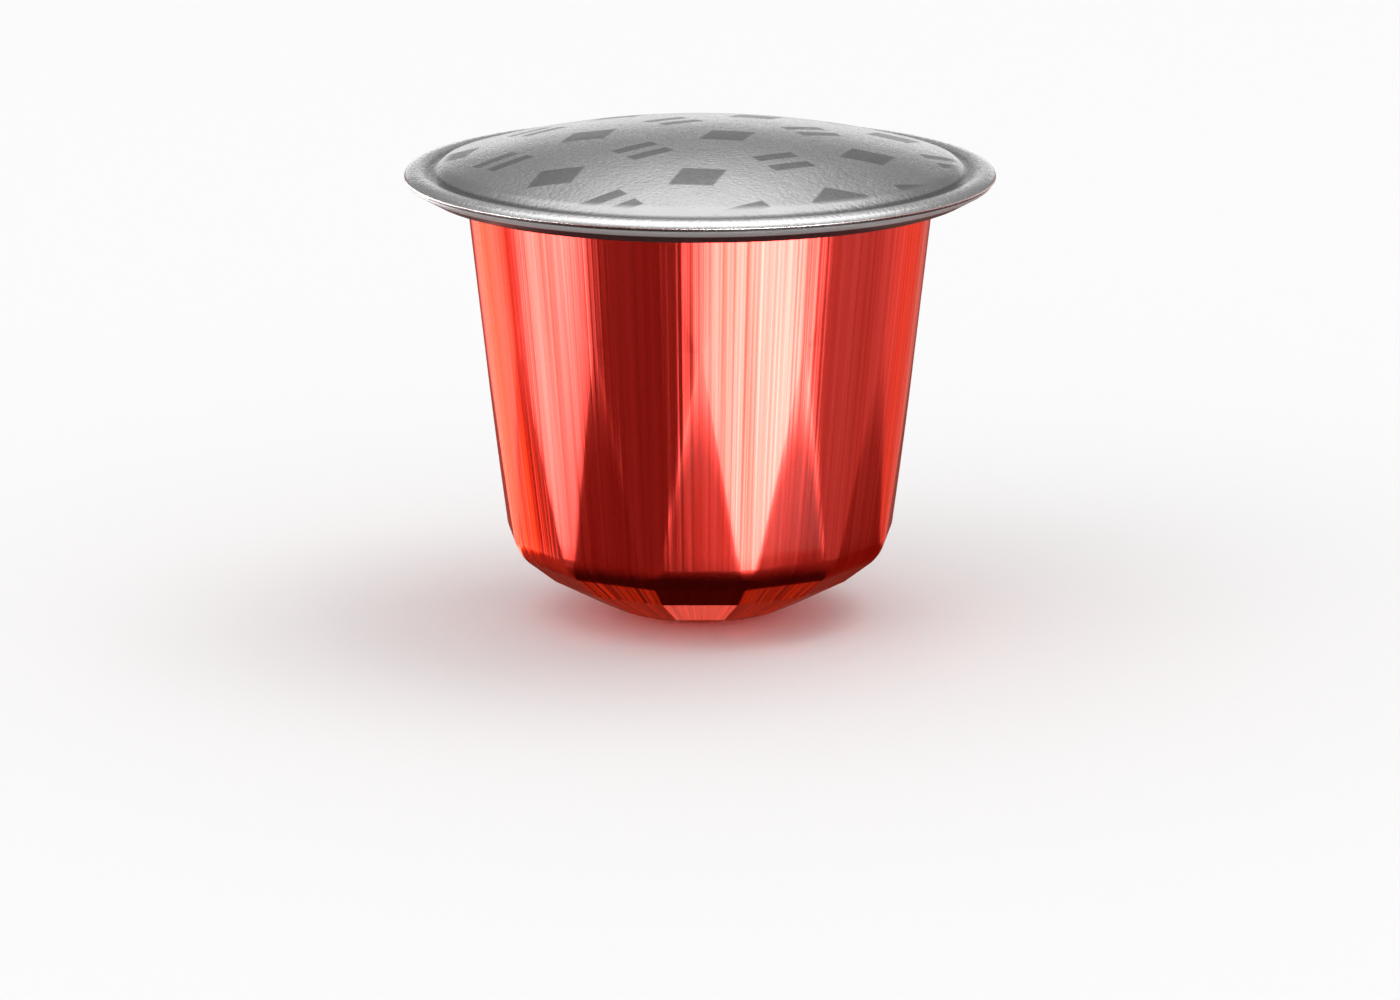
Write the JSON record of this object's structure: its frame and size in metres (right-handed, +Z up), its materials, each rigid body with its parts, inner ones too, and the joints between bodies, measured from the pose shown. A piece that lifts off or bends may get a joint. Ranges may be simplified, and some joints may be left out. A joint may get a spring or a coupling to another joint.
{
  "type": "coffee pod",
  "caption": "Sealed aluminium coffee pod: a tapering red cup with flats round its lower wall, a domed nose and a rolled rim, closed by a domed foil lid.",
  "frame": {"origin": "centre of the small flat on the nose that the pod stands on", "axes": "+Z up through the nose, the cup and the lid; -Y is the side that the picture shows"},
  "size_m": [0.037, 0.037, 0.0311],
  "materials": {
    "red_lacquer": "translucent red lacquer over drawn aluminium, with fine upright streaks; bare satin metal on the rolled rim",
    "lid_foil": "satin aluminium foil with a fine orange-peel grain and a faint dark grey printed pattern"
  },
  "bodies": {
    "root": {"cup": "red_lacquer", "foil_lid": "lid_foil"}
  },
  "joints": []
}
